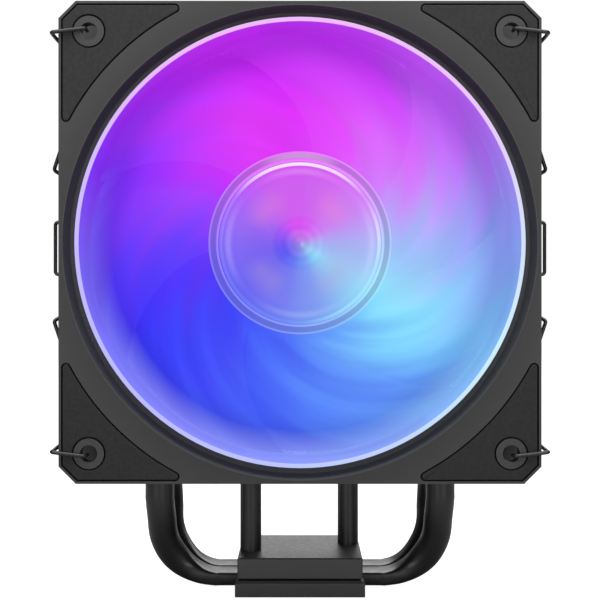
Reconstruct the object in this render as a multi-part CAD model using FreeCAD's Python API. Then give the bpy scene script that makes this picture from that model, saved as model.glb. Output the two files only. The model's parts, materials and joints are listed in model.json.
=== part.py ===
import FreeCAD, Part
import math
import os

from FreeCAD import Placement, Rotation, Vector

# CPU tower cooler with one 120 mm fan. All sizes are in millimetres.
# Origin: centre of the base's underside. +Z is up the tower and the fan faces -Y.

# ---- Driving dimensions -------------------------------------------------------------------

# Fan, a standard 120 x 120 x 25 frame with holes on a 105 mm square
FAN_SIZE = 120.0
FAN_DEPTH = 25.0
FAN_HOLE_PITCH = 105.0
FAN_HOLE_RADIUS = 2.15
FAN_CENTRE_Z = 96.0
FAN_FRONT_Y = -49.0
CORNER_CHAMFER = 4.3
FRONT_FLANGE = 7.5
REAR_FLANGE = 5.0
BARREL_RADIUS = 61.0
MOUTH_RADIUS = 59.0
MOUTH_GROOVE_DEPTH = 3.4
SCREW_BOSS_DEPTH = 3.8
SCREW_RECESS_RADIUS = 4.5
OUTLET_RADIUS = 54.2

# Soft corner pads, set into pockets in both flanges
PAD_INSET = 1.0
PAD_ARC_RADIUS = 65.1
PAD_TIP_RADIUS = 0.85
PAD_THICKNESS = 2.0
PAD_GAP = 0.36
PAD_PROUD_REAR = 0.5
BOSS_RADIUS = 3.8

# Light guide ring that lines the duct, and the LED board behind it
GUIDE_OUTER = 56.1
GUIDE_INNER = 54.95
GUIDE_LENGTH = 18.7
GUIDE_SEAT_GAP = 0.05
BOARD_INNER = 54.3
BOARD_THICKNESS = 1.0
RING_LEDS = 24
LED_WIDTH = 1.2
LED_LENGTH = 3.0
LED_HEIGHT = 1.4

# Motor and rotor
HUB_RADIUS = 22.9
HUB_FRONT_DEPTH = 1.6
HUB_REAR_DEPTH = 20.4
HUB_WALL = 1.4
HUB_RIM = 1.9
HUB_RECESS = 3.1
HUB_EDGE_CHAMFER = 0.5
LENS_RADIUS = 20.6
LENS_EDGE = 0.7
LENS_RISE = 1.3
BLADES = 7
BLADE_TIP_RADIUS = 53.5
BLADE_ROOT_RADIUS = 20.0
BLADE_LOFT_RADIUS = 56.5
BLADE_THICKNESS = 1.5
BLADE_SWEEP = 44.0
BLADE_OVERLAP = 1.32
MOUNT_RADIUS = 20.5
MOUNT_THICKNESS = 3.6
STRUTS = 7
STRUT_WIDTH = 3.2
CABLE_STRUT_WIDTH = 7.0
YOKE_OUTER = 21.3
YOKE_WALL = 1.0
MAGNET_WALL = 1.8
STATOR_RADIUS = 17.9
STATOR_POLES = 4
STATOR_HEIGHT = 6.0
TUBE_RADIUS = 4.2
SLEEVE_RADIUS = 3.0
SHAFT_RADIUS = 1.5
SHAFT_CLEARANCE = 0.04

# Base: plate, cover block and the flattened pipes between them
PLATE_WIDTH = 35.8
PLATE_DEPTH = 34.6
PLATE_HEIGHT = 4.4
PLATE_BEVEL = 0.75
BLOCK_WIDTH = 34.5
BLOCK_DEPTH = 33.3
BLOCK_TOP = 10.65
BLOCK_BEVEL = 0.35
PIPE_FLOOR = 1.3
PIPE_FLAT_HEIGHT = 3.74
PIPE_FLAT_WIDTH = 9.64
PIPE_FLAT_CORNER = 0.8
PIPE_SECTION_POINTS = 40
PIPE_CHANNEL_GAP = 0.03
BRACKET_SPACING_X = 28.0
BRACKET_SPACING_Y = 27.0
BRACKET_HOLE_RADIUS = 1.25
BRACKET_HOLE_DEPTH = 8.4

# Heat pipes
PIPE_RADIUS = 4.0
PIPE_SPREAD_X = 39.1
PIPE_LEAN = 0.5
PIPE_BEND_RADIUS = 15.6
PIPE_FLAT_Y = 4.85
PIPE_TOWER_Y = 12.0
PIPE_ROUND_LENGTH = 16.0
PIPE_SPREAD_START = 7.0
PIPE_SPREAD_ABOVE_BEND = 9.0
LEG_RADIUS = 3.0
LEG_X = 14.0
PIPE_TOP = 154.8
PIPE_TIP_TAPER = 2.2

# Fin stack and top cover
FIN_COUNT = 57
FIN_GROUPS = ("lower", "middle", "upper")
FIN_PITCH = 2.1
FIN_THICKNESS = 0.4
FIN_BOTTOM = 34.0
FIN_HALF_WIDTH = 58.5
FIN_FRONT_Y = -23.5
FIN_REAR_Y = 24.0
FIN_CORNER = 2.5
FIN_HOLE_GAP = 0.02
CLIP_NOTCH_DEPTH = 1.5
CLIP_NOTCH_WIDTH = 4.2
CLIP_NOTCH_Y = -14.5
TAB_WIDTH = 6.0
COVER_TOP = 156.6
COVER_EDGE = 0.8

# Sprung wire clips
WIRE_RADIUS = 0.5
WIRE_BEND = 0.8
HOOK_X = 53.2
HANDLE_X = 67.8
HANDLE_HALF_HEIGHT = 7.2

# ---- Worked-out positions -----------------------------------------------------------------

FAN_REAR_Y = FAN_FRONT_Y + FAN_DEPTH
FAN_HALF = FAN_SIZE / 2
HOLE_OFFSET = FAN_HOLE_PITCH / 2
MOUNT_FRONT_Y = FAN_REAR_Y - MOUNT_THICKNESS
HUB_FRONT_Y = FAN_FRONT_Y + HUB_FRONT_DEPTH
HUB_REAR_Y = FAN_FRONT_Y + HUB_REAR_DEPTH
RECESS_Y = HUB_FRONT_Y + HUB_RECESS
HUB_INSIDE_Y = RECESS_Y + HUB_WALL
PIPE_FLAT_TOP = PIPE_FLOOR + PIPE_FLAT_HEIGHT
PIPE_FLAT_MID = PIPE_FLOOR + PIPE_FLAT_HEIGHT / 2
BEND_START_X = PIPE_SPREAD_X - PIPE_LEAN - PIPE_BEND_RADIUS
BEND_TOP_Z = PIPE_FLAT_MID + PIPE_BEND_RADIUS
CABLE_EXIT_Z = FAN_CENTRE_Z - 21.0
FAN_CENTRE = Vector(0, 0, FAN_CENTRE_Z)
ALONG_Y = Vector(0, 1, 0)
UP = Vector(0, 0, 1)


# ---- Small shape helpers ------------------------------------------------------------------

def block(x0, x1, y0, y1, z0, z1):
    return Part.makeBox(x1 - x0, y1 - y0, z1 - z0, Vector(x0, y0, z0))


def post(radius, x, y, z0, z1):
    """Upright cylinder."""
    return Part.makeCylinder(radius, z1 - z0, Vector(x, y, z0), UP)


def disc(radius, y0, y1, x=0.0, z=0.0):
    """Cylinder along Y, placed relative to the fan's centre."""
    return Part.makeCylinder(radius, y1 - y0, Vector(x, y0, FAN_CENTRE_Z + z), ALONG_Y)


def tube(outer, inner, y0, y1):
    """Ring about the fan's axis."""
    return disc(outer, y0, y1).cut(disc(inner, y0 - 1, y1 + 1))


def turned(profile):
    """Solid turned about the fan's axis from (radius, y) points."""
    points = [Vector(radius, y, FAN_CENTRE_Z) for radius, y in profile]
    face = Part.Face(Part.makePolygon(points + points[:1]))
    return face.revolve(FAN_CENTRE, ALONG_Y, 360)


def plate_outline(points, y0, y1):
    """Flat plate facing -Y from (x, z) points relative to the fan's centre."""
    corners = [Vector(x, y0, FAN_CENTRE_Z + z) for x, z in points]
    return Part.Face(Part.makePolygon(corners + corners[:1])).extrude(Vector(0, y1 - y0, 0))


def about_fan(shape, degrees):
    turned_copy = shape.copy()
    turned_copy.rotate(FAN_CENTRE, ALONG_Y, degrees)
    return turned_copy


def mirrored(shape, normal, through=Vector(0, 0, 0)):
    return shape.mirror(through, normal)


def bent_path(points, radii):
    """Wire through the points, with a tangent arc of the given radius at each inner one."""
    edges = []
    start = points[0]
    for before, corner, after, radius in zip(points, points[1:], points[2:], radii):
        into = (corner - before).normalize()
        away = (after - corner).normalize()
        half_turn = into.getAngle(away) / 2
        setback = radius * math.tan(half_turn)
        arc_start = corner - into * setback
        arc_end = corner + away * setback
        bulge = (away - into).normalize() * (radius / math.cos(half_turn) - radius)
        edges.append(Part.LineSegment(start, arc_start).toShape())
        edges.append(Part.Arc(arc_start, corner + bulge, arc_end).toShape())
        start = arc_end
    edges.append(Part.LineSegment(start, points[-1]).toShape())
    return Part.Wire(edges)


def swept(profile, path):
    return path.makePipeShell([profile], True, False)


def group(shapes):
    return Part.makeCompound(list(shapes))


# ---- Base and heat pipes ------------------------------------------------------------------

def bracket_holes():
    """Tapped holes for the socket bracket, up from the underside."""
    return [
        post(BRACKET_HOLE_RADIUS, side * BRACKET_SPACING_X / 2, end * BRACKET_SPACING_Y / 2,
             -1, BRACKET_HOLE_DEPTH)
        for side in (-1, 1)
        for end in (-1, 1)
    ]


def base_plate():
    half_x = PLATE_WIDTH / 2
    half_y = PLATE_DEPTH / 2
    plate = block(-half_x, half_x, -half_y, half_y, 0, PLATE_HEIGHT)
    rim = [edge for edge in plate.Edges
           if all(abs(vertex.Z - PLATE_HEIGHT) < 1e-6 for vertex in edge.Vertexes)]
    plate = plate.makeChamfer(PLATE_BEVEL, rim)
    channel_half = PIPE_FLAT_Y + PIPE_FLAT_WIDTH / 2 + PIPE_CHANNEL_GAP
    channel = block(-half_x - 1, half_x + 1, -channel_half, channel_half,
                    PIPE_FLOOR, PLATE_HEIGHT + 1)
    return plate.cut(channel).cut(group(bracket_holes()))


def base_cover_block():
    half_x = BLOCK_WIDTH / 2
    half_y = BLOCK_DEPTH / 2
    cover = block(-half_x, half_x, -half_y, half_y, PIPE_FLAT_TOP, BLOCK_TOP)
    rim = [edge for edge in cover.Edges
           if any(abs(vertex.Z - PIPE_FLAT_TOP) > 1e-6 for vertex in edge.Vertexes)]
    cover = cover.makeChamfer(BLOCK_BEVEL, rim)
    for side in (-1, 1):
        leg_hole = post(LEG_RADIUS, side * LEG_X, side * PIPE_FLAT_Y, 0, BLOCK_TOP + 1)
        cover = cover.cut(leg_hole)
    return cover.cut(group(bracket_holes()))


def pipe_section(roundness, centre, across, normal, scale=1.0):
    """Closed section of a pipe: 0 is pressed flat between plate and block, 1 is round.

    It is a small rectangle widened by the corner radius; both shrink to nothing but the
    radius as the pipe gets round."""
    half_width, half_height, corner = (
        scale * ((1 - roundness) * flat + roundness * PIPE_RADIUS)
        for flat in (PIPE_FLAT_WIDTH / 2, PIPE_FLAT_HEIGHT / 2, PIPE_FLAT_CORNER))
    points = []
    for step in range(PIPE_SECTION_POINTS):
        angle = 2 * math.pi * step / PIPE_SECTION_POINTS
        wide, high = (
            (half - corner) * math.tanh(4 * part) / math.tanh(4) + corner * part
            for half, part in ((half_width, math.cos(angle)), (half_height, math.sin(angle))))
        points.append(centre + across * wide + normal * high)
    curve = Part.BSplineCurve()
    curve.interpolate(Points=points, PeriodicFlag=True)
    return Part.Wire(curve.toShape())


def eased(part):
    """Goes smoothly from 0 to 1 and stays there."""
    held = min(max(part, 0), 1)
    return held ** 2 * (3 - 2 * held)


def pipe_bend_centre(travelled, side):
    """Centre of the right-hand bend: up through a quarter turn while it spreads to the tower's row,
    then a slight lean outwards."""
    arc_length = math.radians(90) * PIPE_BEND_RADIUS
    turn = min(travelled / PIPE_BEND_RADIUS, math.radians(90))
    above = max(travelled - arc_length, 0)
    spread_length = arc_length + PIPE_SPREAD_ABOVE_BEND - PIPE_SPREAD_START
    sideways = (PIPE_TOWER_Y - PIPE_FLAT_Y) * eased((travelled - PIPE_SPREAD_START) / spread_length)
    outwards = PIPE_LEAN * eased(above / PIPE_SPREAD_ABOVE_BEND)
    return Vector(BEND_START_X + PIPE_BEND_RADIUS * math.sin(turn) + outwards, side * sideways,
                  BEND_TOP_Z - PIPE_BEND_RADIUS * math.cos(turn) + above)


def pipe_bend_sections(side):
    """Sections along the right-hand bend, from pressed flat to round."""
    sections = []
    arc_length = math.radians(90) * PIPE_BEND_RADIUS
    steps = 18
    nudge = 0.01
    for step in range(steps + 1):
        travelled = (arc_length + PIPE_SPREAD_ABOVE_BEND) * step / steps
        centre = pipe_bend_centre(travelled, side)
        behind = pipe_bend_centre(travelled - nudge, side)
        ahead = pipe_bend_centre(travelled + nudge, side)
        forward = (ahead - behind).normalize()
        across = (ALONG_Y - forward * ALONG_Y.dot(forward)).normalize()
        roundness = eased(travelled / PIPE_ROUND_LENGTH)
        sections.append(pipe_section(roundness, centre, across, forward.cross(across)))
    return sections


def tapered_tip(radius, x, y):
    return Part.makeCone(radius, radius * 0.4, PIPE_TIP_TAPER,
                         Vector(x, y, PIPE_TOP - PIPE_TIP_TAPER), UP)


def heat_pipe(side):
    """U-shaped pipe, pressed flat in the base. side -1 is the fan's side, 1 the other."""
    sections = pipe_bend_sections(side)
    flat_run = Part.Face(sections[0]).extrude(Vector(-BEND_START_X, 0, 0))
    bend = Part.makeLoft(sections, True, False)
    top_face = max(bend.Faces, key=lambda face: face.BoundBox.ZMin)
    riser = top_face.extrude(UP * (PIPE_TOP - PIPE_TIP_TAPER - top_face.BoundBox.ZMax))
    riser_end = max(riser.Faces, key=lambda face: face.BoundBox.ZMin).OuterWire
    tip_centre = Vector(PIPE_SPREAD_X, side * (PIPE_TOWER_Y - PIPE_FLAT_Y), PIPE_TOP)
    tip_end = pipe_section(1, tip_centre, ALONG_Y, Vector(-1, 0, 0), 0.4)
    tip = Part.makeLoft([riser_end, tip_end], True, True)
    half = flat_run.fuse(bend).fuse(riser).fuse(tip)
    pipe = half.fuse(mirrored(half, Vector(1, 0, 0))).removeSplitter()
    pipe.translate(Vector(0, side * PIPE_FLAT_Y, 0))
    return pipe


def third_leg(side):
    """Straight leg that joins the middle of a heat pipe and rises through the block."""
    x = side * LEG_X
    y = side * PIPE_FLAT_Y
    leg = post(LEG_RADIUS, x, y, PIPE_FLAT_TOP, PIPE_TOP - PIPE_TIP_TAPER)
    return leg.fuse(tapered_tip(LEG_RADIUS, x, y)).removeSplitter()


# ---- Fins and top cover -------------------------------------------------------------------

def fin_outline_points():
    """Right-hand half of a fin's outline, from front to rear, as (x, y)."""
    notch_floor = FIN_HALF_WIDTH - CLIP_NOTCH_DEPTH
    points = [
        (FIN_HALF_WIDTH - FIN_CORNER, FIN_FRONT_Y),
        (FIN_HALF_WIDTH, FIN_FRONT_Y + FIN_CORNER),
    ]
    middle_y = (FIN_FRONT_Y + FIN_REAR_Y) / 2
    for notch_y in (CLIP_NOTCH_Y, 2 * middle_y - CLIP_NOTCH_Y):
        points += [
            (FIN_HALF_WIDTH, notch_y - CLIP_NOTCH_WIDTH / 2),
            (notch_floor, notch_y - CLIP_NOTCH_WIDTH / 2 + 0.6),
            (notch_floor, notch_y + CLIP_NOTCH_WIDTH / 2 - 0.6),
            (FIN_HALF_WIDTH, notch_y + CLIP_NOTCH_WIDTH / 2),
        ]
    points += [
        (FIN_HALF_WIDTH, FIN_REAR_Y - FIN_CORNER),
        (FIN_HALF_WIDTH - FIN_CORNER, FIN_REAR_Y),
        (34.0, FIN_REAR_Y),
        (30.0, FIN_REAR_Y - 2.0),
        (12.0, FIN_REAR_Y - 2.0),
        (8.0, FIN_REAR_Y),
    ]
    return points


def fin_plan(z, thickness):
    right = fin_outline_points()
    left = [(-x, y) for x, y in reversed(right)]
    corners = [Vector(x, y, z) for x, y in right + left]
    return Part.Face(Part.makePolygon(corners + corners[:1])).extrude(Vector(0, 0, thickness))


def pipe_places():
    """(x, y, radius) of the six pipes where they pass through the fins."""
    places = [(side_x * PIPE_SPREAD_X, side_y * PIPE_TOWER_Y, PIPE_RADIUS)
              for side_x in (-1, 1) for side_y in (-1, 1)]
    places += [(side * LEG_X, side * PIPE_FLAT_Y, LEG_RADIUS) for side in (-1, 1)]
    return places


def fin():
    """Lowest fin: a thin sheet with pipe collars and folded spacer tabs."""
    sheet = fin_plan(FIN_BOTTOM, FIN_THICKNESS)
    tab_top = FIN_BOTTOM + FIN_PITCH
    collars = [post(radius + 0.4, x, y, FIN_BOTTOM, tab_top) for x, y, radius in pipe_places()]
    tabs = []
    for side in (-1, 1):
        tab_x = side * 46.0
        tabs.append(block(tab_x - TAB_WIDTH / 2, tab_x + TAB_WIDTH / 2,
                          FIN_REAR_Y - FIN_THICKNESS, FIN_REAR_Y, FIN_BOTTOM, tab_top))
        tabs.append(block(side * FIN_HALF_WIDTH - (FIN_THICKNESS if side > 0 else 0),
                          side * FIN_HALF_WIDTH + (0 if side > 0 else FIN_THICKNESS),
                          -2.0, -2.0 + TAB_WIDTH / 2, FIN_BOTTOM, tab_top))
    holes = [post(radius + FIN_HOLE_GAP, x, y, FIN_BOTTOM - 1, tab_top + 1)
             for x, y, radius in pipe_places()]
    return sheet.multiFuse(collars + tabs).cut(group(holes)).removeSplitter()


def fin_groups():
    """Fins in three groups of separate sheets, from the bottom up."""
    first = fin()
    per_group = FIN_COUNT // len(FIN_GROUPS)
    groups = {}
    for index, name in enumerate(FIN_GROUPS):
        fins = []
        for step in range(per_group):
            sheet = first.copy()
            sheet.translate(Vector(0, 0, (index * per_group + step) * FIN_PITCH))
            fins.append(sheet)
        groups["cooling_fins_" + name] = group(fins)
    return groups


def top_cover():
    """Lid with a bevelled rim, a long shallow panel and pockets for the pipe tips."""
    bottom = FIN_BOTTOM + FIN_COUNT * FIN_PITCH
    cover = fin_plan(bottom, COVER_TOP - bottom)
    rim = [edge for edge in cover.Edges
           if all(abs(vertex.Z - COVER_TOP) < 1e-6 for vertex in edge.Vertexes)]
    cover = cover.makeChamfer(COVER_EDGE, rim)
    middle_y = (FIN_FRONT_Y + FIN_REAR_Y) / 2
    for offset in (-15.0, 15.0):
        cover = cover.cut(block(-50, 50, middle_y + offset - 0.6, middle_y + offset + 0.6,
                                COVER_TOP - 0.6, COVER_TOP + 1))
    pockets = [post(radius, x, y, bottom - 1, PIPE_TOP) for x, y, radius in pipe_places()]
    return cover.cut(group(pockets))


# ---- Fan frame ----------------------------------------------------------------------------

def chamfered_square(half, cut, y0, y1):
    corner = half - cut
    points = [(corner, half), (half, corner), (half, -corner), (corner, -half),
              (-corner, -half), (-half, -corner), (-half, corner), (-corner, half)]
    return plate_outline(points, y0, y1)


def corner_area(grow, y0, y1):
    """Three-cornered area in the upper right corner: a pad, or its pocket when grown."""
    half = FAN_HALF - PAD_INSET + grow
    cut = CORNER_CHAMFER - (2 - math.sqrt(2)) * (PAD_INSET - grow)
    area = plate_outline([(half, 0), (half, half - cut), (half - cut, half), (0, half), (0, 0)],
                         y0, y1)
    area = area.cut(disc(PAD_ARC_RADIUS - grow, y0 - 1, y1 + 1))
    tips = [edge for edge in area.Edges
            if abs(edge.Length - (y1 - y0)) < 1e-6
            and min(edge.BoundBox.XMin, edge.BoundBox.ZMin - FAN_CENTRE_Z) < half - 2 * cut]
    return area.makeFillet(PAD_TIP_RADIUS + grow, tips)


def to_corner(shape, right, upper):
    """Moves a shape made for the upper right corner to another corner."""
    placed = shape
    if right < 0:
        placed = mirrored(placed, Vector(1, 0, 0))
    if upper < 0:
        placed = mirrored(placed, UP, FAN_CENTRE)
    return placed


def corner_pad(y0, y1):
    boss = disc(BOSS_RADIUS + PAD_GAP, y0 - 1, y1 + 1, HOLE_OFFSET, HOLE_OFFSET)
    return corner_area(0, y0, y1).cut(boss)


def pad_pocket(y0, y1):
    boss = disc(BOSS_RADIUS, y0 - 1, y1 + 1, HOLE_OFFSET, HOLE_OFFSET)
    return corner_area(PAD_GAP, y0, y1).cut(boss)


def corners():
    return [(right, upper) for right in (-1, 1) for upper in (-1, 1)]


def corner_name(right, upper):
    return ("upper" if upper > 0 else "lower") + ("_right" if right > 0 else "_left")


def fan_duct():
    """Space inside the frame: a groove round the light guide's front edge, its seat and the outlet."""
    board_back = MOUNT_FRONT_Y - 0.2
    groove_floor = FAN_FRONT_Y + MOUTH_GROOVE_DEPTH
    return turned([
        (0, FAN_FRONT_Y - 1), (MOUTH_RADIUS, FAN_FRONT_Y - 1), (MOUTH_RADIUS, FAN_FRONT_Y),
        (MOUTH_RADIUS - 0.4, groove_floor - 1), (MOUTH_RADIUS - 1.2, groove_floor),
        (GUIDE_OUTER + GUIDE_SEAT_GAP, groove_floor),
        (GUIDE_OUTER + GUIDE_SEAT_GAP, board_back), (OUTLET_RADIUS, board_back),
        (OUTLET_RADIUS, FAN_REAR_Y + 1), (0, FAN_REAR_Y + 1)])


def motor_mount():
    """Disc and struts behind the rotor; the widest strut carries the cable channel."""
    mount = disc(MOUNT_RADIUS, MOUNT_FRONT_Y, FAN_REAR_Y)
    pieces = []
    for index in range(STRUTS):
        width = CABLE_STRUT_WIDTH if index == 0 else STRUT_WIDTH
        strut = block(MOUNT_RADIUS - 3, OUTLET_RADIUS + 1.5, MOUNT_FRONT_Y + 0.2, FAN_REAR_Y - 0.6,
                      FAN_CENTRE_Z - width / 2, FAN_CENTRE_Z + width / 2)
        if index == 0:
            channel = block(MOUNT_RADIUS - 4, OUTLET_RADIUS + 3, FAN_REAR_Y - 2.4, FAN_REAR_Y,
                            FAN_CENTRE_Z - 2.2, FAN_CENTRE_Z + 2.2)
            strut = strut.cut(channel)
        lean = Rotation(ALONG_Y, 0 if index == 0 else 18)
        strut.Placement = Placement(Vector(0, 0, 0), lean, Vector(MOUNT_RADIUS, 0, FAN_CENTRE_Z))
        pieces.append(about_fan(strut, 30 + 360 * index / STRUTS))
    mount = mount.multiFuse(pieces)
    label_recess = disc(16.2, FAN_REAR_Y - 0.2, FAN_REAR_Y + 1)
    return mount.cut(disc(TUBE_RADIUS, MOUNT_FRONT_Y - 1, FAN_REAR_Y + 1)).cut(label_recess)


def cable_notch(grow):
    """Slot in the rear flange's edge where the fan's leads come out."""
    return block(FAN_HALF - 2.6 - grow, FAN_HALF + 1, FAN_REAR_Y - REAR_FLANGE - 1,
                 FAN_REAR_Y - 1.2 + grow, CABLE_EXIT_Z - 3.5 - grow, CABLE_EXIT_Z + 3.5 + grow)


def fan_frame():
    outline = chamfered_square(FAN_HALF, CORNER_CHAMFER, FAN_FRONT_Y, FAN_REAR_Y)
    barrel = disc(BARREL_RADIUS, FAN_FRONT_Y, FAN_REAR_Y)
    front = chamfered_square(FAN_HALF, CORNER_CHAMFER, FAN_FRONT_Y, FAN_FRONT_Y + FRONT_FLANGE)
    rear = chamfered_square(FAN_HALF, CORNER_CHAMFER, FAN_REAR_Y - REAR_FLANGE, FAN_REAR_Y)
    shell = outline.common(barrel).multiFuse([front, rear]).cut(fan_duct())
    cuts = [cable_notch(0)]
    front_pocket = pad_pocket(FAN_FRONT_Y - 1, FAN_FRONT_Y + PAD_THICKNESS)
    rear_pocket = pad_pocket(FAN_REAR_Y - PAD_THICKNESS, FAN_REAR_Y + 1)
    recess = disc(SCREW_RECESS_RADIUS, FAN_FRONT_Y + SCREW_BOSS_DEPTH, FAN_FRONT_Y + FRONT_FLANGE + 1,
                  HOLE_OFFSET, HOLE_OFFSET)
    holes = disc(FAN_HOLE_RADIUS, FAN_FRONT_Y - 1, FAN_REAR_Y + 1, HOLE_OFFSET, HOLE_OFFSET)
    for right, upper in corners():
        for cutter in (front_pocket, rear_pocket, recess, holes):
            cuts.append(to_corner(cutter, right, upper))
    return shell.cut(group(cuts)).fuse(motor_mount()).removeSplitter()


def cable_grommet():
    grommet = cable_notch(-0.05).common(
        block(0, FAN_HALF - 0.2, FAN_FRONT_Y, FAN_REAR_Y, 0, FAN_CENTRE_Z))
    grommet = grommet.common(block(0, FAN_HALF, FAN_REAR_Y - REAR_FLANGE, FAN_REAR_Y,
                                   0, FAN_CENTRE_Z))
    holes = [Part.makeCylinder(0.8, REAR_FLANGE + 2,
                               Vector(FAN_HALF - 1.5, FAN_REAR_Y - REAR_FLANGE - 1,
                                      CABLE_EXIT_Z + offset), ALONG_Y)
             for offset in (-1.8, 1.8)]
    return grommet.cut(group(holes))


def light_guide_ring():
    ring = tube(GUIDE_OUTER, GUIDE_INNER, FAN_FRONT_Y, FAN_FRONT_Y + GUIDE_LENGTH)
    rim = [edge for edge in ring.Edges
           if edge.BoundBox.YMax < FAN_FRONT_Y + 1e-6]
    return ring.makeFillet(0.25, rim)


def led_ring_board():
    front = MOUNT_FRONT_Y - 0.2 - BOARD_THICKNESS
    return tube(GUIDE_OUTER, BOARD_INNER, front, front + BOARD_THICKNESS)


def led_ring_leds():
    front = MOUNT_FRONT_Y - 0.2 - BOARD_THICKNESS - LED_HEIGHT
    radius = (GUIDE_OUTER + BOARD_INNER) / 2
    led = block(radius - LED_WIDTH / 2, radius + LED_WIDTH / 2, front, front + LED_HEIGHT,
                FAN_CENTRE_Z - LED_LENGTH / 2, FAN_CENTRE_Z + LED_LENGTH / 2)
    return group(about_fan(led, 360 * index / RING_LEDS) for index in range(RING_LEDS))


# ---- Motor --------------------------------------------------------------------------------

BOARD_FRONT_Y = MOUNT_FRONT_Y - 1.2
STATOR_REAR_Y = BOARD_FRONT_Y - 2.2
STATOR_FRONT_Y = STATOR_REAR_Y - STATOR_HEIGHT
COIL_OUTER = STATOR_RADIUS - 2.6


def motor_board():
    return tube(16.0, TUBE_RADIUS + 0.05, BOARD_FRONT_Y, MOUNT_FRONT_Y)


def hub_leds():
    led = block(12.4, 15.4, BOARD_FRONT_Y - LED_HEIGHT, BOARD_FRONT_Y,
                FAN_CENTRE_Z - 1.5, FAN_CENTRE_Z + 1.5)
    return group(about_fan(led, 45 + 360 * index / STATOR_POLES) for index in range(STATOR_POLES))


def stator_core():
    """Laminated core: a hub with four arms that end in curved pole shoes."""
    hub = disc(7.0, STATOR_FRONT_Y, STATOR_REAR_Y)
    shoes = tube(STATOR_RADIUS, STATOR_RADIUS - 1.6, STATOR_FRONT_Y, STATOR_REAR_Y)
    arm = block(0, STATOR_RADIUS - 0.8, STATOR_FRONT_Y, STATOR_REAR_Y,
                FAN_CENTRE_Z - 2, FAN_CENTRE_Z + 2)
    slot = block(STATOR_RADIUS - 3, STATOR_RADIUS + 1, STATOR_FRONT_Y - 1, STATOR_REAR_Y + 1,
                 FAN_CENTRE_Z - 2, FAN_CENTRE_Z + 2)
    step = 360 / STATOR_POLES
    slots = group(about_fan(slot, step / 2 + step * index) for index in range(STATOR_POLES))
    arms = [about_fan(arm, step * index) for index in range(STATOR_POLES)]
    core = hub.multiFuse(arms + [shoes.cut(slots)])
    return core.cut(disc(TUBE_RADIUS, STATOR_FRONT_Y - 1, STATOR_REAR_Y + 1)).removeSplitter()


def stator_coils():
    """One coil round each arm."""
    front = STATOR_FRONT_Y - 1.6
    rear = STATOR_REAR_Y + 1.6
    outer = block(8.0, COIL_OUTER, front, rear, FAN_CENTRE_Z - 4.2, FAN_CENTRE_Z + 4.2)
    outer = outer.makeFillet(1.2, [edge for edge in outer.Edges
                                   if abs(edge.BoundBox.XLength - (COIL_OUTER - 8)) < 1e-6])
    inner = block(7.0, STATOR_RADIUS, STATOR_FRONT_Y, STATOR_REAR_Y,
                  FAN_CENTRE_Z - 2, FAN_CENTRE_Z + 2)
    coil = outer.cut(inner)
    return group(about_fan(coil, 360 * index / STATOR_POLES) for index in range(STATOR_POLES))


TUBE_FRONT_Y = HUB_INSIDE_Y + 2.2
THRUST_Y = FAN_REAR_Y - 1.0


def bearing_tube():
    """Cup pressed into the motor mount, closed at the rear."""
    cup = disc(TUBE_RADIUS, TUBE_FRONT_Y, FAN_REAR_Y - 0.4)
    return cup.cut(disc(SLEEVE_RADIUS, TUBE_FRONT_Y - 1, THRUST_Y + 0.2))


def bearing_sleeve():
    return tube(SLEEVE_RADIUS, SHAFT_RADIUS + SHAFT_CLEARANCE, TUBE_FRONT_Y + 0.3, THRUST_Y - 2.2)


def thrust_washer():
    return disc(SLEEVE_RADIUS - 0.05, THRUST_Y - 0.4, THRUST_Y + 0.2)


def shaft():
    spindle = disc(SHAFT_RADIUS, HUB_INSIDE_Y - 0.8, THRUST_Y - 0.45)
    groove = tube(SHAFT_RADIUS + 1, 1.15, THRUST_Y - 1.6, THRUST_Y - 1.2)
    rear_rim = [edge for edge in spindle.Edges if edge.BoundBox.YMin > THRUST_Y - 1]
    return spindle.makeFillet(0.4, rear_rim).cut(groove)


def retaining_clip():
    """Slotted ring in the shaft's groove, which keeps the rotor in the sleeve."""
    ring = tube(2.4, 1.15, THRUST_Y - 1.58, THRUST_Y - 1.22)
    gap = block(0, 4, THRUST_Y - 3, THRUST_Y, FAN_CENTRE_Z - 0.5, FAN_CENTRE_Z + 0.5)
    return ring.cut(gap)


def rear_label():
    return disc(16.0, FAN_REAR_Y - 0.2, FAN_REAR_Y - 0.05)


# ---- Rotor --------------------------------------------------------------------------------

def blade_section(radius, turn, front_y, rear_y, width):
    """Cambered, tapering section of a blade, square to the radius at the given turn."""
    radial = Vector(math.cos(turn), 0, math.sin(turn))
    around = Vector(-math.sin(turn), 0, math.cos(turn))
    steps = 8
    sides = {1: [], -1: []}
    for step in range(steps + 1):
        along = step / steps
        thick = BLADE_THICKNESS * (0.35 + 0.65 * math.sin(math.pi * min(along * 1.15, 1)) ** 0.8)
        camber = 0.09 * width * math.sin(math.pi * along)
        for side in sides:
            y = front_y + (rear_y - front_y) * along - camber + side * thick / 2
            offset = radial * radius + around * (width * (0.5 - along))
            sides[side].append(Vector(offset.x, y, FAN_CENTRE_Z + offset.z))
    edges = []
    for side in (1, -1):
        curve = Part.BSplineCurve()
        curve.interpolate(sides[side])
        edges.append(curve.toShape())
    edges.insert(1, Part.LineSegment(sides[1][-1], sides[-1][-1]).toShape())
    edges.append(Part.LineSegment(sides[-1][0], sides[1][0]).toShape())
    return Part.Wire(Part.__sortEdges__(edges))


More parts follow.
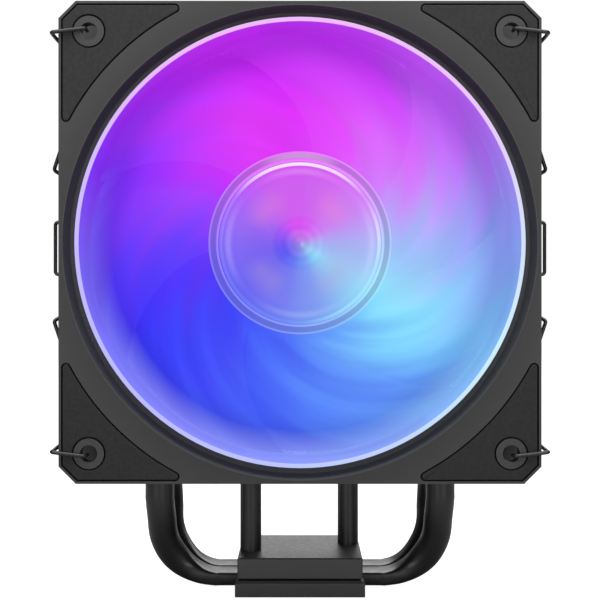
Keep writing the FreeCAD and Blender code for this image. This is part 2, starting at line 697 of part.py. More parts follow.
def blade():
    """Broad swept blade, trimmed to the tip radius and rooted inside the hub's wall."""
    sections = []
    reach = BLADE_LOFT_RADIUS - BLADE_ROOT_RADIUS
    steps = 5
    for step in range(steps + 1):
        out = step / steps
        radius = BLADE_ROOT_RADIUS + reach * out
        front_y = FAN_FRONT_Y + 7.2 + 2.2 * out
        rear_y = HUB_REAR_Y - 1.0 - 2.2 * out
        width = 2 * math.pi * radius / BLADES * BLADE_OVERLAP
        sections.append(blade_section(radius, math.radians(BLADE_SWEEP) * out ** 1.2,
                                      front_y, rear_y, width))
    whole = Part.makeLoft(sections, True, False)
    return whole.common(tube(BLADE_TIP_RADIUS, HUB_RADIUS - 0.8, FAN_FRONT_Y, FAN_REAR_Y))


def impeller():
    hub = turned([
        (0, RECESS_Y), (HUB_RADIUS - HUB_RIM, RECESS_Y), (HUB_RADIUS - HUB_RIM, HUB_FRONT_Y),
        (HUB_RADIUS - HUB_EDGE_CHAMFER, HUB_FRONT_Y), (HUB_RADIUS, HUB_FRONT_Y + HUB_EDGE_CHAMFER),
        (HUB_RADIUS, HUB_REAR_Y), (HUB_RADIUS - HUB_WALL, HUB_REAR_Y),
        (HUB_RADIUS - HUB_WALL, HUB_INSIDE_Y), (3.4, HUB_INSIDE_Y), (3.4, HUB_INSIDE_Y + 1.6),
        (0, HUB_INSIDE_Y + 1.6)])
    blades = [about_fan(blade(), 360 * index / BLADES) for index in range(BLADES)]
    wheel = hub.multiFuse(blades)
    bore = disc(SHAFT_RADIUS, HUB_INSIDE_Y - 0.8, HUB_INSIDE_Y + 2)
    return wheel.cut(bore).removeSplitter()


def hub_lens():
    """Domed clear disc in the hub's recess."""
    rise = LENS_RISE
    dome_radius = (LENS_RADIUS ** 2 + rise ** 2) / (2 * rise)
    edge_y = RECESS_Y - LENS_EDGE
    ball = Part.makeSphere(dome_radius, Vector(0, edge_y - rise + dome_radius, FAN_CENTRE_Z))
    return disc(LENS_RADIUS, edge_y - rise - 0.5, RECESS_Y).common(ball)


def rotor_yoke():
    return tube(YOKE_OUTER, YOKE_OUTER - YOKE_WALL, HUB_INSIDE_Y + 0.6, HUB_REAR_Y - 0.8)


def rotor_magnet():
    outer = YOKE_OUTER - YOKE_WALL
    return tube(outer, outer - MAGNET_WALL, STATOR_FRONT_Y - 1.5, STATOR_REAR_Y + 1.5)


# ---- Wire clips ---------------------------------------------------------------------------

def clip_points():
    """Upper half of the right-hand clip, from hook to handle: (x, depth, height)."""
    return [
        (HOOK_X, 1.9, 53.0),
        (HOOK_X, -0.85, 53.0),
        (61.6, -0.85, 52.0),
        (61.7, 4.0, 51.9),
        (61.1, 9.5, 51.2),
        (61.3, 16.2, 29.0),
        (64.7, 17.7, 19.8),
        (61.1, 19.6, 17.6),
        (61.0, 26.6, 17.0),
        (59.6, 33.2, 16.5),
        (57.75, 34.6, 13.6),
        (57.75, 34.6, HANDLE_HALF_HEIGHT),
        (HANDLE_X, 35.0, HANDLE_HALF_HEIGHT),
    ]


def fan_clip(side):
    upper = clip_points()
    lower = [(x, depth, -height) for x, depth, height in reversed(upper)]
    points = [Vector(side * x, FAN_FRONT_Y + depth, FAN_CENTRE_Z + height)
              for x, depth, height in upper + lower]
    half_radii = [WIRE_BEND, WIRE_BEND, 2.5, 2.5, 4.0, 0.9, 0.9, 3.0, 1.0, 1.0, WIRE_BEND, WIRE_BEND]
    path = bent_path(points, half_radii + half_radii[::-1])
    circle = Part.Circle(points[0], ALONG_Y, WIRE_RADIUS)
    return swept(Part.Wire(circle.toShape()), path)


# ---- The whole cooler ---------------------------------------------------------------------

def all_parts():
    parts = {
        "base_plate": base_plate(),
        "base_cover_block": base_cover_block(),
        "heat_pipe_front": heat_pipe(-1),
        "heat_pipe_rear": heat_pipe(1),
        "third_leg_left": third_leg(-1),
        "third_leg_right": third_leg(1),
        "top_cover": top_cover(),
        "fan_frame": fan_frame(),
        "cable_grommet": cable_grommet(),
        "light_guide_ring": light_guide_ring(),
        "led_ring_board": led_ring_board(),
        "led_ring_leds": led_ring_leds(),
        "motor_board": motor_board(),
        "hub_leds": hub_leds(),
        "stator_core": stator_core(),
        "stator_coils": stator_coils(),
        "bearing_tube": bearing_tube(),
        "bearing_sleeve": bearing_sleeve(),
        "thrust_washer": thrust_washer(),
        "rear_label": rear_label(),
        "impeller": impeller(),
        "hub_lens": hub_lens(),
        "rotor_yoke": rotor_yoke(),
        "rotor_magnet": rotor_magnet(),
        "shaft": shaft(),
        "retaining_clip": retaining_clip(),
        "fan_clip_left": fan_clip(-1),
        "fan_clip_right": fan_clip(1),
    }
    parts.update(fin_groups())
    front_pad = corner_pad(FAN_FRONT_Y, FAN_FRONT_Y + PAD_THICKNESS)
    rear_pad = corner_pad(FAN_REAR_Y - PAD_THICKNESS, FAN_REAR_Y + PAD_PROUD_REAR)
    for right, upper in corners():
        name = corner_name(right, upper)
        parts["front_pad_" + name] = to_corner(front_pad, right, upper)
        parts["rear_pad_" + name] = to_corner(rear_pad, right, upper)
    return parts


def main():
    os.makedirs("parts", exist_ok=True)
    for name, shape in all_parts().items():
        if not shape.isValid():
            print("not valid:", name)
        print(f"{name:24s} solids {len(shape.Solids):3d}  volume {shape.Volume:10.1f}")
        shape.exportStep(os.path.join("parts", name + ".step"))


main()
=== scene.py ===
import json
import math

import bmesh
import bpy
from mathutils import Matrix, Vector

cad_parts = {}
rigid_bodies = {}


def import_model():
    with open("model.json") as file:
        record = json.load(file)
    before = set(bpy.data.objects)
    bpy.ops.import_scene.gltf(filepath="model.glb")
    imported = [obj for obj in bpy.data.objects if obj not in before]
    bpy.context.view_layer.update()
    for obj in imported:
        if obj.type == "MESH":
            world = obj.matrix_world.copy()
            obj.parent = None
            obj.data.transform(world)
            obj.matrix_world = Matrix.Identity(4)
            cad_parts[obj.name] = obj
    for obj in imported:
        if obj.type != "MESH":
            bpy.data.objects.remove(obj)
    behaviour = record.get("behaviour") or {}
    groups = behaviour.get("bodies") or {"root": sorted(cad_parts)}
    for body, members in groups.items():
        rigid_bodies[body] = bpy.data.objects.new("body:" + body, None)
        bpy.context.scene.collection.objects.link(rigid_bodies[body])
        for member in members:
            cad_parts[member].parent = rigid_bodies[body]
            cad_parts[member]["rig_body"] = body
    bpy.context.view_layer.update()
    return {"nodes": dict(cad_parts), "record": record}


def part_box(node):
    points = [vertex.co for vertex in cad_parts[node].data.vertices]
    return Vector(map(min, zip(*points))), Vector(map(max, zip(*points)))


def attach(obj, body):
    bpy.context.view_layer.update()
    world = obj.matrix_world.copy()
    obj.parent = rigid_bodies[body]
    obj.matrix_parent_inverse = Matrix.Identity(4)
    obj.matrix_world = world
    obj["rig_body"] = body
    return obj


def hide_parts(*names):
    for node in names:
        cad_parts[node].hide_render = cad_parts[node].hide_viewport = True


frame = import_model()
nodes = frame["nodes"]

MM = 0.001

# Fan, from the frame: its centre line runs along Y
FAN_LOW, FAN_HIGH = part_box("fan_frame")
FAN_CENTRE = (FAN_LOW + FAN_HIGH) / 2
FAN_FRONT_Y = FAN_LOW.y
LENS_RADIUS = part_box("hub_lens")[1].x
TIP_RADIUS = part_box("impeller")[1].x

# Radii of the fan's face that no part's box gives
GROOVE_RADIUS = 59.0 * MM
HUB_RADIUS = 22.9 * MM
HUB_RIM_INNER = 21.0 * MM

# Beyond this radius the light guide's surface is its outer wall
GUIDE_WALL_RADIUS = 55.8 * MM

# Camera: level, square to the fan's front and a little below the fan's centre
CAMERA_DISTANCE = 300 * MM
CAMERA_BELOW_FAN_CENTRE = 14.3 * MM
LENS = 72.5

# Brightness of the backdrop and of the floor to the camera, and of the backdrop to the object
BACKDROP_SEEN = 1.02
BACKDROP_FILL = 0.20
FLOOR_SEEN = 0.97

# Colours of the lit fan round its face, every 30 degrees, counter-clockwise from the right
GLOW = ["#A0C0FC", "#CC88FD", "#DE5AFC", "#DE39FA", "#DA32F9", "#AD37FE",
        "#7639FB", "#463CFA", "#4558FA", "#5581FA", "#6EAFFC", "#8BE0FF"]

# How that light deepens, in two steps, from the blades' middle to the duct's wall
DEEPENING_START = 34 * MM
DEEPENING_MIDDLE = 44 * MM
DEEPENING_END = 50 * MM
BLADE_END_TINT = (0.84, 0.80, 1.0, 1)
DUCT_WALL_TINT = (0.58, 0.55, 0.80, 1)

# How it pales round one angle, in degrees, from the blades' ends outwards
PALE_ANGLE = 250
PALE_START = 48 * MM
PALE_FULL = 54 * MM
PALE_AMOUNT = 0.19
PALE_COLOUR = (1.0, 1.0, 0.9, 1)

# Streaks on the blades: degrees they sweep from hub to tip, and how close they lie
STREAK_SWEEP = 75
STREAKS_AROUND = 4.0
STREAKS_ALONG = 25.0


def linear(hex_colour):
    """The linear colour, with alpha, of an sRGB hex colour."""
    channels = [int(hex_colour[i:i + 2], 16) / 255 for i in (1, 3, 5)]
    return [c / 12.92 if c <= 0.04045 else ((c + 0.055) / 1.055) ** 2.4 for c in channels] + [1]


def grey(level):
    return (level, level, level, 1)


# ---- Stage --------------------------------------------------------------------------------

def place_camera():
    data = bpy.data.cameras.new("camera")
    data.lens = LENS
    data.clip_start = 0.01
    camera = bpy.data.objects.new("camera", data)
    camera.location = (0, FAN_FRONT_Y - CAMERA_DISTANCE, FAN_CENTRE.z - CAMERA_BELOW_FAN_CENTRE)
    camera.rotation_euler = (math.radians(90), 0, 0)
    bpy.context.scene.collection.objects.link(camera)
    bpy.context.scene.camera = camera


def area_light(name, size, power, place, aim):
    data = bpy.data.lights.new(name, "AREA")
    data.shape = "RECTANGLE"
    data.size, data.size_y = size
    data.energy = power
    light = bpy.data.objects.new(name, data)
    light.location = place
    light.rotation_euler = (Vector(aim) - Vector(place)).to_track_quat("-Z", "Y").to_euler()
    bpy.context.scene.collection.objects.link(light)


def make_floor():
    """Paper that the camera sees as pure white, and that lights the object only a little."""
    half = 4.0
    mesh = bpy.data.meshes.new("floor")
    mesh.from_pydata([(-half, -half, 0), (half, -half, 0), (half, half, 0), (-half, half, 0)],
                     [], [(0, 1, 2, 3)])
    floor = bpy.data.objects.new("floor", mesh)
    bpy.context.scene.collection.objects.link(floor)
    paper = Paint("floor_paper", roughness=0.9, base=grey(0.4), specular=0.1)
    seen = paper.node("ShaderNodeLightPath", out="Is Camera Ray")
    paper.connect("Emission Strength", paper.maths("MULTIPLY", seen, FLOOR_SEEN))
    paper.shader.inputs["Emission Color"].default_value = grey(1)
    mesh.materials.append(paper.material)


def light_studio():
    """White to the camera and dim all round the object, with soft boxes above, behind and in front."""
    world = bpy.data.worlds.new("studio")
    world.use_nodes = True
    tree = world.node_tree
    background = tree.nodes["Background"]
    background.inputs["Color"].default_value = grey(1)
    seen = tree.nodes.new("ShaderNodeLightPath").outputs["Is Camera Ray"]
    strength = tree.nodes.new("ShaderNodeMapRange")
    tree.links.new(seen, strength.inputs["Value"])
    strength.inputs["To Min"].default_value = BACKDROP_FILL
    strength.inputs["To Max"].default_value = BACKDROP_SEEN
    tree.links.new(strength.outputs["Result"], background.inputs["Strength"])
    bpy.context.scene.world = world
    area_light("overhead", (0.9, 0.7), 9.0, (0.0, -0.15, 0.85), (0, 0, 0.05))
    area_light("front_above", (0.5, 0.2), 1.05, (0.0, -0.32, 0.42), (0, 0, 0.12))
    area_light("rear_fill", (1.2, 0.7), 7.0, (0.3, 1.1, 0.7), (0, 0, 0.08))
    for name, side in (("left_strip", -1), ("right_strip", 1)):
        area_light(name, (0.16, 0.4), 0.75, (side * 0.22, -0.52, 0.10), (0, 0, 0.06))


# ---- Material tools -----------------------------------------------------------------------

class Paint:
    """A Principled material and the nodes that feed it."""

    def __init__(self, name, base=None, metallic=0.0, roughness=0.5, specular=0.5, coat=0.0,
                 coat_roughness=0.1):
        self.material = bpy.data.materials.new(name)
        self.material.use_nodes = True
        self.tree = self.material.node_tree
        self.shader = self.tree.nodes["Principled BSDF"]
        constants = {"Base Color": base, "Metallic": metallic, "Roughness": roughness,
                     "Specular IOR Level": specular, "Coat Weight": coat, "Coat Roughness": coat_roughness}
        for socket, value in constants.items():
            if value is not None:
                self.shader.inputs[socket].default_value = value

    def node(self, kind, inputs=None, out=0, **settings):
        """Adds a node and returns one of its outputs. Inputs are values or other nodes' outputs."""
        made = self.tree.nodes.new(kind)
        for name, value in settings.items():
            setattr(made, name, value)
        for socket, value in (inputs or {}).items():
            if isinstance(value, bpy.types.NodeSocket):
                self.tree.links.new(value, made.inputs[socket])
            else:
                made.inputs[socket].default_value = value
        return made.outputs[out]

    def connect(self, socket, output):
        self.tree.links.new(output, self.shader.inputs[socket])

    def maths(self, operation, a, b=0.0):
        return self.node("ShaderNodeMath", {0: a, 1: b}, operation=operation)

    def wave(self, function, angle, waves=1):
        """SINE or COSINE of an angle in turns, with that many waves to a turn."""
        return self.maths(function, self.maths("MULTIPLY", angle, waves * 2 * math.pi))

    def blend(self, amount, a, b, mode="MIX"):
        """Colours a and b mixed; amount 0 is a."""
        return self.node("ShaderNodeMix", {0: amount, 6: a, 7: b}, out=2, data_type="RGBA", blend_type=mode)

    def spread(self, value, low, high, to_low, to_high, smooth=False):
        """A value of low to high carried over to the range of to_low to to_high, and held beyond it."""
        kind = "SMOOTHSTEP" if smooth else "LINEAR"
        return self.node("ShaderNodeMapRange", {"Value": value, "From Min": low, "From Max": high,
                                                "To Min": to_low, "To Max": to_high}, interpolation_type=kind)

    def band(self, radius, inner, outer, soft=0.12 * MM):
        """1 between two radii and 0 outside them, with soft edges."""
        rise = self.spread(radius, inner - soft, inner + soft, 0, 1, smooth=True)
        fall = self.spread(radius, outer - soft, outer + soft, 1, 0, smooth=True)
        return self.maths("MULTIPLY", rise, fall)

    def split(self, vector):
        """A vector's X, Y and Z outputs."""
        made = self.tree.nodes.new("ShaderNodeSeparateXYZ")
        self.tree.links.new(vector, made.inputs[0])
        return made.outputs

    def place(self):
        """Place on the piece, which stays with it when it moves."""
        return self.node("ShaderNodeTexCoord", out="Object")

    def stretched(self, stretch):
        return self.node("ShaderNodeMapping", {"Vector": self.place(), "Scale": stretch})

    def noise(self, size, detail=2.0, roughness=0.5, stretch=(1, 1, 1)):
        """Noise of about 0 to 1 with features of about that size."""
        return self.node("ShaderNodeTexNoise", {"Vector": self.stretched(stretch), "Scale": 1 / size,
                                                "Detail": detail, "Roughness": roughness})

    def bump(self, height, distance, strength):
        self.connect("Normal", self.node("ShaderNodeBump", {"Height": height, "Distance": distance,
                                                            "Strength": strength}))

    def mottled(self, dark, light, size, **noise):
        """Base colour that wanders between two greys or colours."""
        self.connect("Base Color", self.blend(self.noise(size, **noise), dark, light))

    def painted_shade_below(self, colour, lowest):
        """Painted shade: a colour as it is at the fan's top, darkened down to that share of it at the fan's
        bottom.
        """
        share = self.spread(self.split(self.place())["Z"], FAN_LOW.z, FAN_HIGH.z, lowest, 1.0)
        return self.blend(share, grey(0), colour)

    def polar(self, world=True):
        """Radius from the fan's axis, and angle in turns, counter-clockwise from the right."""
        place = self.split(self.node("ShaderNodeNewGeometry", out="Position") if world else self.place())
        x = self.maths("SUBTRACT", place["X"], FAN_CENTRE.x)
        z = self.maths("SUBTRACT", place["Z"], FAN_CENTRE.z)
        radius = self.maths("POWER", self.maths("ADD", self.maths("MULTIPLY", x, x),
                                                self.maths("MULTIPLY", z, z)), 0.5)
        angle = self.maths("DIVIDE", self.maths("ARCTAN2", z, x), 2 * math.pi)
        return radius, angle

    def glow(self, angle, twist=0.0):
        """The coloured light round the fan's face at an angle in turns."""
        ramp = self.tree.nodes.new("ShaderNodeValToRGB")
        ramp.color_ramp.interpolation = "CARDINAL"
        elements = ramp.color_ramp.elements
        stops = GLOW + GLOW[:1]
        for index, colour in enumerate(stops):
            if index in (0, len(stops) - 1):
                stop = elements[0 if index == 0 else -1]
            else:
                stop = elements.new(index / (len(stops) - 1))
            stop.position = index / (len(stops) - 1)
            stop.color = linear(colour)
        turned = self.maths("FRACT", self.maths("ADD", angle, 1.0 + twist))
        self.tree.links.new(turned, ramp.inputs[0])
        return ramp.outputs[0]

    def face_light(self, radius, angle):
        """The glow as the fan's face shows it: deeper towards the duct's wall, paler at the lower left."""
        near_blade_end = self.spread(radius, DEEPENING_START, DEEPENING_MIDDLE, 0, 1)
        near_duct_wall = self.spread(radius, DEEPENING_MIDDLE, DEEPENING_END, 0, 1)
        deeper = self.blend(near_blade_end, grey(1), BLADE_END_TINT)
        deeper = self.blend(near_duct_wall, deeper, DUCT_WALL_TINT)
        colour = self.blend(1.0, self.glow(angle), deeper, "MULTIPLY")
        away = self.maths("SUBTRACT", angle, PALE_ANGLE / 360)
        pale = self.maths("MAXIMUM", self.wave("COSINE", away), 0.0)
        pale = self.maths("MULTIPLY", pale, self.spread(radius, PALE_START, PALE_FULL, 0, PALE_AMOUNT))
        return self.blend(pale, colour, PALE_COLOUR, "ADD")

    def streaks(self, radius, turned, scale=1.0):
        """Long soft streaks of about -1 to 1 along the blades; a smaller scale makes them broader."""
        along = self.node("ShaderNodeCombineXYZ", {
            "X": self.maths("MULTIPLY", self.wave("COSINE", turned), STREAKS_AROUND),
            "Y": self.maths("MULTIPLY", self.wave("SINE", turned), STREAKS_AROUND),
            "Z": self.maths("MULTIPLY", radius, STREAKS_ALONG)})
        noise = self.node("ShaderNodeTexNoise", {"Vector": along, "Scale": scale,
                                                 "Detail": 2.5, "Roughness": 0.5})
        clear_of_hub = self.spread(radius, HUB_RADIUS, HUB_RADIUS + 3 * MM, 0, 1)
        return self.maths("MULTIPLY", self.spread(noise, 0.28, 0.72, -1, 1), clear_of_hub)

    def shine(self, colour, strength):
        """Makes the surface give off light of its own."""
        self.connect("Emission Color", colour)
        if isinstance(strength, bpy.types.NodeSocket):
            self.connect("Emission Strength", strength)
        else:
            self.shader.inputs["Emission Strength"].default_value = strength


# ---- Materials ----------------------------------------------------------------------------

def frame_plastic():
    """Black moulding with a fine spark-eroded grain; painted shade makes it darker round the groove outside
    the light guide and towards the fan's bottom, and painted light lifts the groove and its wall.
    """
    paint = Paint("frame_plastic", roughness=0.5, specular=0.4)
    radius, _ = paint.polar()
    black = paint.blend(paint.noise(6 * MM), grey(0.029), grey(0.036))
    # Painted shade: the face darkens towards the groove round the light guide.
    painted_shade_beside_groove = paint.spread(radius, GROOVE_RADIUS + 0.5 * MM, GROOVE_RADIUS + 8 * MM, 0.8, 0.0)
    black = paint.blend(painted_shade_beside_groove, black, grey(0.018))
    # Painted shade: darker towards the fan's bottom.
    black = paint.painted_shade_below(black, 0.8)
    # Painted light: the groove's floor is lifted to a plain black and its wall is painted paler than the
    # face, where they lie in shade.
    painted_lift_in_groove = paint.spread(radius, GROOVE_RADIUS + 0.3 * MM, GROOVE_RADIUS - 0.5 * MM, 0, 1, smooth=True)
    black = paint.blend(painted_lift_in_groove, black, grey(0.033))
    painted_light_on_groove_wall = paint.band(radius, GROOVE_RADIUS - 1.1 * MM, GROOVE_RADIUS + 0.1 * MM, 0.3 * MM)
    paint.connect("Base Color", paint.blend(painted_light_on_groove_wall, black, grey(0.050)))
    paint.connect("Roughness", paint.spread(paint.noise(0.5 * MM), 0.3, 0.7, 0.44, 0.58))
    paint.bump(paint.noise(0.28 * MM, detail=3), 0.02 * MM, 0.5)
    return paint.material


def pad_rubber():
    """Matte black rubber, softer and blacker than the frame, with painted shade making it darker towards the
    fan's bottom.
    """
    paint = Paint("pad_rubber", roughness=0.7, specular=0.35)
    black = paint.blend(paint.noise(3 * MM), grey(0.012), grey(0.017))
    # Painted shade: darker towards the fan's bottom.
    paint.connect("Base Color", paint.painted_shade_below(black, 0.55))
    paint.connect("Roughness", paint.spread(paint.noise(0.8 * MM), 0.3, 0.7, 0.62, 0.80))
    paint.bump(paint.noise(0.4 * MM, detail=4), 0.02 * MM, 0.6)
    return paint.material


def black_pipe():
    """Satin black coating over copper, with the faint orange peel of a dipped tube."""
    paint = Paint("black_pipe", roughness=0.34, specular=0.5)
    paint.mottled(grey(0.010), grey(0.014), 5 * MM)
    paint.connect("Roughness", paint.spread(paint.noise(2 * MM), 0.3, 0.7, 0.30, 0.38))
    paint.bump(paint.noise(1.6 * MM, detail=1), 0.02 * MM, 0.35)
    return paint.material


def black_block():
    """Bead-blasted block with a satin black coat."""
    paint = Paint("black_block", roughness=0.42)
    paint.mottled(grey(0.046), grey(0.056), 4 * MM)
    paint.connect("Roughness", paint.spread(paint.noise(1.0 * MM), 0.3, 0.7, 0.36, 0.48))
    paint.bump(paint.noise(0.3 * MM, detail=3), 0.015 * MM, 0.5)
    return paint.material


def plated_base():
    """Black plated plate, milled bright on its underside."""
    paint = Paint("plated_base", roughness=0.4)
    normal = paint.split(paint.node("ShaderNodeNewGeometry", out="True Normal"))
    under = paint.maths("LESS_THAN", normal["Z"], -0.9)
    milling = paint.noise(0.25 * MM, detail=3, stretch=(0.02, 1, 1))
    black = paint.blend(paint.noise(4 * MM), grey(0.038), grey(0.048))
    bright = paint.blend(milling, linear("#B9BBBF"), linear("#DADBDD"))
    paint.connect("Base Color", paint.blend(under, black, bright))
    paint.connect("Metallic", under)
    paint.connect("Roughness", paint.maths("SUBTRACT", 0.42, paint.maths("MULTIPLY", under, 0.16)))
    paint.bump(milling, 0.01 * MM, 0.4)
    return paint.material


def black_fins():
    """Black coated sheet: satin, a little uneven from sheet to sheet."""
    paint = Paint("black_fins", roughness=0.42)
    paint.mottled(grey(0.016), grey(0.030), 2.1 * MM, stretch=(0.05, 0.05, 1))
    paint.connect("Roughness", paint.spread(paint.noise(1.5 * MM), 0.3, 0.7, 0.36, 0.50))
    paint.bump(paint.noise(0.8 * MM, detail=3), 0.01 * MM, 0.4)
    return paint.material


def anodised_cover():
    """Black anodised plate, brushed from side to side."""
    paint = Paint("anodised_cover", metallic=0.6, roughness=0.35)
    hairline = paint.noise(0.16 * MM, detail=4, roughness=0.6, stretch=(0.012, 1, 1))
    paint.connect("Base Color", paint.blend(hairline, grey(0.030), grey(0.075)))
    paint.connect("Roughness", paint.spread(hairline, 0.3, 0.7, 0.26, 0.44))
    paint.bump(hairline, 0.012 * MM, 0.5)
    return paint.material


def clip_wire():
    """Black finished spring wire, drawn lines along it."""
    paint = Paint("clip_wire", metallic=0.2, roughness=0.30)
    paint.mottled(grey(0.008), grey(0.014), 1.5 * MM)
    paint.bump(paint.noise(0.12 * MM, detail=2, stretch=(1, 1, 0.1)), 0.01 * MM, 0.4)
    return paint.material


def with_hub_rim(paint, colour, radius, angle, groove):
    """The blades' colour with the hub's rim painted on it: a dull groove, paler at its top with a painted
    highlight, between two pale edges that are painted highlights.
    """
    # Painted highlight: the groove pales towards its top.
    top = paint.spread(paint.wave("SINE", angle), 0.86, 1.0, 0.0, 1.0, smooth=True)
    dull = paint.maths("MULTIPLY", groove, paint.maths("ADD", 0.32, paint.maths("MULTIPLY", top, 0.22)))
    colour = paint.blend(dull, colour, paint.blend(top, linear("#8F93B8"), linear("#D2C8D8")))
    # Painted highlights: white lines on the rim's outer and inner edges.
    edge = paint.band(radius, HUB_RADIUS - 0.5 * MM, HUB_RADIUS)
    colour = paint.blend(paint.maths("MULTIPLY", edge, 0.17), colour, grey(1))
    inner = paint.band(radius, LENS_RADIUS - 1 * MM, HUB_RIM_INNER)
    return paint.blend(paint.maths("MULTIPLY", inner, 0.24), colour, grey(1))


def painted_glow_blades():
    """Milky blades given a painted glow in the colours of the ring of lights, set by their angle and distance
    from the fan's axis, with soft streaks along them, and the hub's clear rim.
    """
    paint = Paint("painted_glow_blades", base=grey(0.004), roughness=0.5, specular=0.06)
    radius, angle = paint.polar()
    own_radius, own_angle = paint.polar(world=False)
    swirl = paint.spread(own_radius, HUB_RADIUS, TIP_RADIUS, 0, STREAK_SWEEP / 360)
    turned = paint.maths("SUBTRACT", own_angle, swirl)
    streaks = paint.streaks(own_radius, turned)
    swathes = paint.streaks(own_radius, turned, scale=0.45)
    shift = paint.maths("ADD", paint.maths("MULTIPLY", streaks, 0.014),
                        paint.maths("MULTIPLY", swathes, 0.024))
    colour = paint.face_light(radius, paint.maths("ADD", angle, shift))
    groove = paint.band(radius, HUB_RIM_INNER + 0.1 * MM, HUB_RADIUS - 0.5 * MM)
    strength = paint.spread(streaks, -1, 1, 0.92, 1.05)
    dimmed = paint.maths("SUBTRACT", strength, paint.maths("MULTIPLY", groove, 0.12))
    # Painted light: the blades give off the glow themselves, though they are no lamp.
    paint.shine(with_hub_rim(paint, colour, radius, angle, groove), dimmed)
    return paint.material


def light_guide():
    """Frosted ring: nearly white on its front edge, deeper down the duct, dimmer on its outer wall."""
    paint = Paint("light_guide", base=grey(0.02), roughness=0.4, specular=0.2)
    radius, angle = paint.polar()
    normal = paint.split(paint.node("ShaderNodeNewGeometry", out="True Normal"))
    facing = paint.spread(normal["Y"], -0.3, -0.8, 0, 1)
    wall = paint.face_light(radius, angle)
    edge = paint.blend(0.46, paint.glow(angle), grey(1))
    outside = paint.spread(radius, GUIDE_WALL_RADIUS - 0.1 * MM, GUIDE_WALL_RADIUS + 0.1 * MM, 0, 1)
    hidden = paint.maths("MULTIPLY", outside, paint.maths("SUBTRACT", 1.0, facing))
    paint.shine(paint.blend(facing, wall, edge), paint.spread(hidden, 0, 1, 0.95, 0.42))
    return paint.material


def lens_haze(paint, radius):
    """How much of the dome's own milky colour covers the glow."""
    centre = paint.spread(radius, 5.4 * MM, 7.6 * MM, 0.16, 0.30, smooth=True)
    margin = paint.spread(radius, 15 * MM, 19 * MM, 1.0, 0.55, smooth=True)
    middle = paint.spread(radius, 0.6 * MM, 4.5 * MM, 0.45, 0.0, smooth=True)
    return paint.maths("ADD", paint.maths("MULTIPLY", centre, margin), middle)


def lens_spots(paint, radius, fourths):
    """How strongly each of the hub's four lights shows through the dome."""
    spots = paint.spread(fourths, 0.6, -1, 0, 1, smooth=True)
    spots = paint.maths("MULTIPLY", spots, paint.band(radius, 9.5 * MM, 14.0 * MM, 3.4 * MM))
    return paint.maths("MULTIPLY", spots, 0.32)


def painted_lens_lip_highlight(paint, radius, fourths):
    """How pale the painted highlight on the step inside the dome's edge is: palest between the four lights.
    """
    lip = paint.band(radius, 17.4 * MM, 18.8 * MM, 0.7 * MM)
    return paint.maths("MULTIPLY", lip, paint.spread(fourths, -1, 1, 0.02, 0.13))


def painted_lens_rim_highlight(paint, radius, angle, height):
    """How bright the painted highlight round the dome's edge is: brightest at its top and its lower right."""
    top = paint.spread(height, 0.55, 1.0, 0.0, 0.62, smooth=True)
    lower_right = paint.wave("COSINE", paint.maths("ADD", angle, 0.075))
    side = paint.spread(lower_right, 0.4, 1.0, 0.08, 0.55, smooth=True)
    rim = paint.band(radius, 19.5 * MM, 20.35 * MM, 0.16 * MM)
    return paint.maths("MULTIPLY", rim, paint.maths("ADD", top, side))


def lens_ripples(paint, radius):
    """Faint rings round the dome's middle, about 0."""
    rings = paint.maths("SINE", paint.maths("MULTIPLY", radius, 2 * math.pi / (2.3 * MM)))
    return paint.maths("MULTIPLY", rings, paint.spread(radius, 3 * MM, 8.5 * MM, 0.055, 0.0))


def hub_lens():
    """Clear dome over the hub: a painted highlight round its rim and on the step inside it, and the hub's
    four lights as soft warm spots behind it.
    """
    paint = Paint("hub_lens", base=grey(0.015), roughness=0.25, specular=0.2, coat=0.06, coat_roughness=0.1)
    radius, angle = paint.polar()
    height = paint.wave("SINE", angle)
    upper = paint.spread(height, -0.3, 0.3, 0, 1)
    fourths = paint.wave("COSINE", angle, 4)
    colour = paint.blend(lens_haze(paint, radius), paint.glow(angle, 0.02), linear("#A88BE0"))
    spot = paint.blend(upper, linear("#B79AD2"), linear("#F08CCB"))
    colour = paint.blend(lens_spots(paint, radius, fourths), colour, spot)
    # Painted highlight on the step inside the dome's edge.
    colour = paint.blend(painted_lens_lip_highlight(paint, radius, fourths), colour, grey(1))
    # Painted highlight round the dome's edge: white at the top, cyan at the lower right.
    rim = paint.blend(upper, linear("#A8F2FF"), grey(1.1))
    colour = paint.blend(painted_lens_rim_highlight(paint, radius, angle, height), colour, rim)
    paint.shine(colour, paint.maths("ADD", 0.95, lens_ripples(paint, radius)))
    return paint.material


def circuit_board():
    """Green solder mask over copper traces, with a painted glow near the ring standing for the light of the
    lamps beside it.
    """
    paint = Paint("circuit_board", roughness=0.35)
    traces = paint.node("ShaderNodeTexVoronoi", {"Vector": paint.place(), "Scale": 1 / (1.6 * MM)},
                        distance="MANHATTAN", feature="DISTANCE_TO_EDGE")
    copper = paint.spread(traces, 0.05, 0.12, 1, 0)
    paint.connect("Base Color", paint.blend(copper, linear("#123A24"), linear("#2A6B42")))
    radius, angle = paint.polar()
    # Painted light: the board's outer edge gives off the glow of the lamps beside it.
    lit = paint.spread(radius, 50 * MM, 53 * MM, 0.0, 0.92)
    paint.shine(paint.face_light(radius, angle), lit)
    return paint.material


def led_package():
    """Milky package that glows in the colour of its place, a little whiter under the hub."""
    paint = Paint("led_package", base=grey(0.1), roughness=0.3)
    radius, angle = paint.polar()
    whiter = paint.spread(radius, 30 * MM, 50 * MM, 0.15, 0.0)
    paint.shine(paint.blend(whiter, paint.face_light(radius, angle), grey(1)), 0.9)
    return paint.material


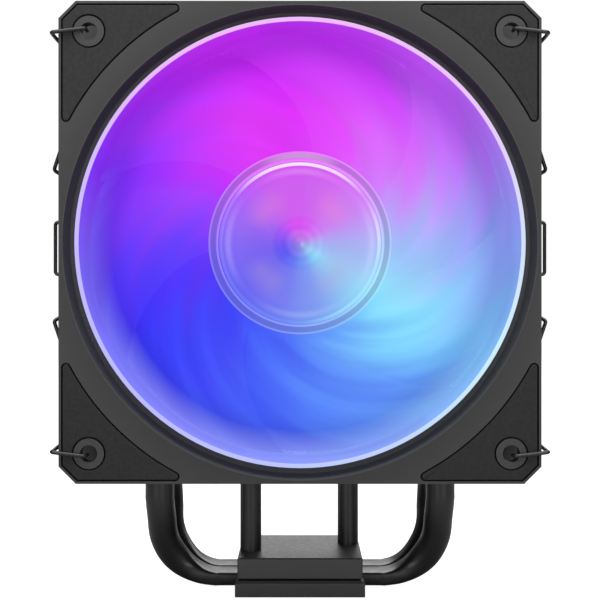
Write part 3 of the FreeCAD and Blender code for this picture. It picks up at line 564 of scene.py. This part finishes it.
def layered_metal(name, dark, light, pitch, metallic, roughness):
    """Metal with fine lines along the fan's axis, as stacked sheets or wound wire have."""
    paint = Paint(name, metallic=metallic, roughness=roughness)
    lines = paint.noise(pitch, detail=1, stretch=(0.02, 1, 0.02))
    paint.connect("Base Color", paint.blend(lines, dark, light))
    paint.bump(lines, 0.05 * MM, 0.5)
    return paint.material


def plain_moulding(name, dark, light, roughness):
    paint = Paint(name, roughness=roughness)
    paint.mottled(dark, light, 2 * MM)
    paint.bump(paint.noise(0.5 * MM), 0.01 * MM, 0.4)
    return paint.material


def make_materials():
    return {
        "plated_base": plated_base(),
        "black_block": black_block(),
        "black_pipe": black_pipe(),
        "black_fins": black_fins(),
        "anodised_cover": anodised_cover(),
        "frame_plastic": frame_plastic(),
        "pad_rubber": pad_rubber(),
        "light_guide": light_guide(),
        "circuit_board": circuit_board(),
        "led_package": led_package(),
        "lamination_steel": layered_metal("lamination_steel", grey(0.30), grey(0.45), 0.4 * MM, 1.0, 0.4),
        "enamelled_wire": layered_metal("enamelled_wire", linear("#8E3B16"), linear("#C8692F"),
                                        0.35 * MM, 0.8, 0.3),
        "bearing_brass": layered_metal("bearing_brass", linear("#B08A45"), linear("#D2B06A"),
                                       0.2 * MM, 1.0, 0.3),
        "washer_plastic": plain_moulding("washer_plastic", grey(0.62), grey(0.70), 0.5),
        "label_film": plain_moulding("label_film", grey(0.48), grey(0.55), 0.35),
        "lit_plastic": painted_glow_blades(),
        "hub_lens_plastic": hub_lens(),
        "yoke_steel": layered_metal("yoke_steel", grey(0.35), grey(0.5), 0.3 * MM, 1.0, 0.35),
        "magnet_ferrite": plain_moulding("magnet_ferrite", grey(0.03), grey(0.05), 0.7),
        "shaft_steel": layered_metal("shaft_steel", grey(0.55), grey(0.7), 0.15 * MM, 1.0, 0.2),
        "clip_wire": clip_wire(),
    }


# ---- Pieces -------------------------------------------------------------------------------

# Millimetres that the edges of some parts are rounded by
EDGES = {"base_plate": 0.25, "base_cover_block": 0.25, "top_cover": 0.2, "fan_frame": 0.25}
PAD_EDGE = 0.2
PADS = [f"{end}_pad_{level}_{side}" for end in ("front", "rear") for level in ("upper", "lower")
        for side in ("left", "right")]


def slot_names():
    return {part["node"]: part["material_slot"] for part in frame["record"]["subparts"]}


def refined(name, edge_width):
    """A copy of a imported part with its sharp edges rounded, standing for that part."""
    source = nodes[name]
    mesh = source.data.copy()
    mesh.name = name + "_fine"
    shape = bmesh.new()
    shape.from_mesh(mesh)
    bmesh.ops.remove_doubles(shape, verts=shape.verts, dist=0.001 * MM)
    bmesh.ops.dissolve_limit(shape, angle_limit=math.radians(0.5), verts=shape.verts, edges=shape.edges)
    for face in shape.faces:
        face.smooth = True
    shape.to_mesh(mesh)
    shape.free()
    if "custom_normal" in mesh.attributes:
        mesh.attributes.remove(mesh.attributes["custom_normal"])
    piece = bpy.data.objects.new(name + "_fine", mesh)
    bpy.context.scene.collection.objects.link(piece)
    bevel = piece.modifiers.new("edges", "BEVEL")
    bevel.width = edge_width
    bevel.segments = 2
    bevel.limit_method = "ANGLE"
    bevel.angle_limit = math.radians(35)
    shading = piece.modifiers.new("shading", "WEIGHTED_NORMAL")
    shading.weight = 100
    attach(piece, source["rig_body"])
    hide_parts(name)
    return piece


def dress():
    """Gives every part its material, and some a copy with rounded edges in their place."""
    materials = make_materials()
    slots = slot_names()
    for name, node in nodes.items():
        node.data.materials.clear()
        node.data.materials.append(materials[slots[name]])
    widths = dict(EDGES, **{pad: PAD_EDGE for pad in PADS})
    for name, width in widths.items():
        piece = refined(name, width * MM)


place_camera()
make_floor()
light_studio()
dress()
bpy.context.scene.view_settings.view_transform = "Standard"
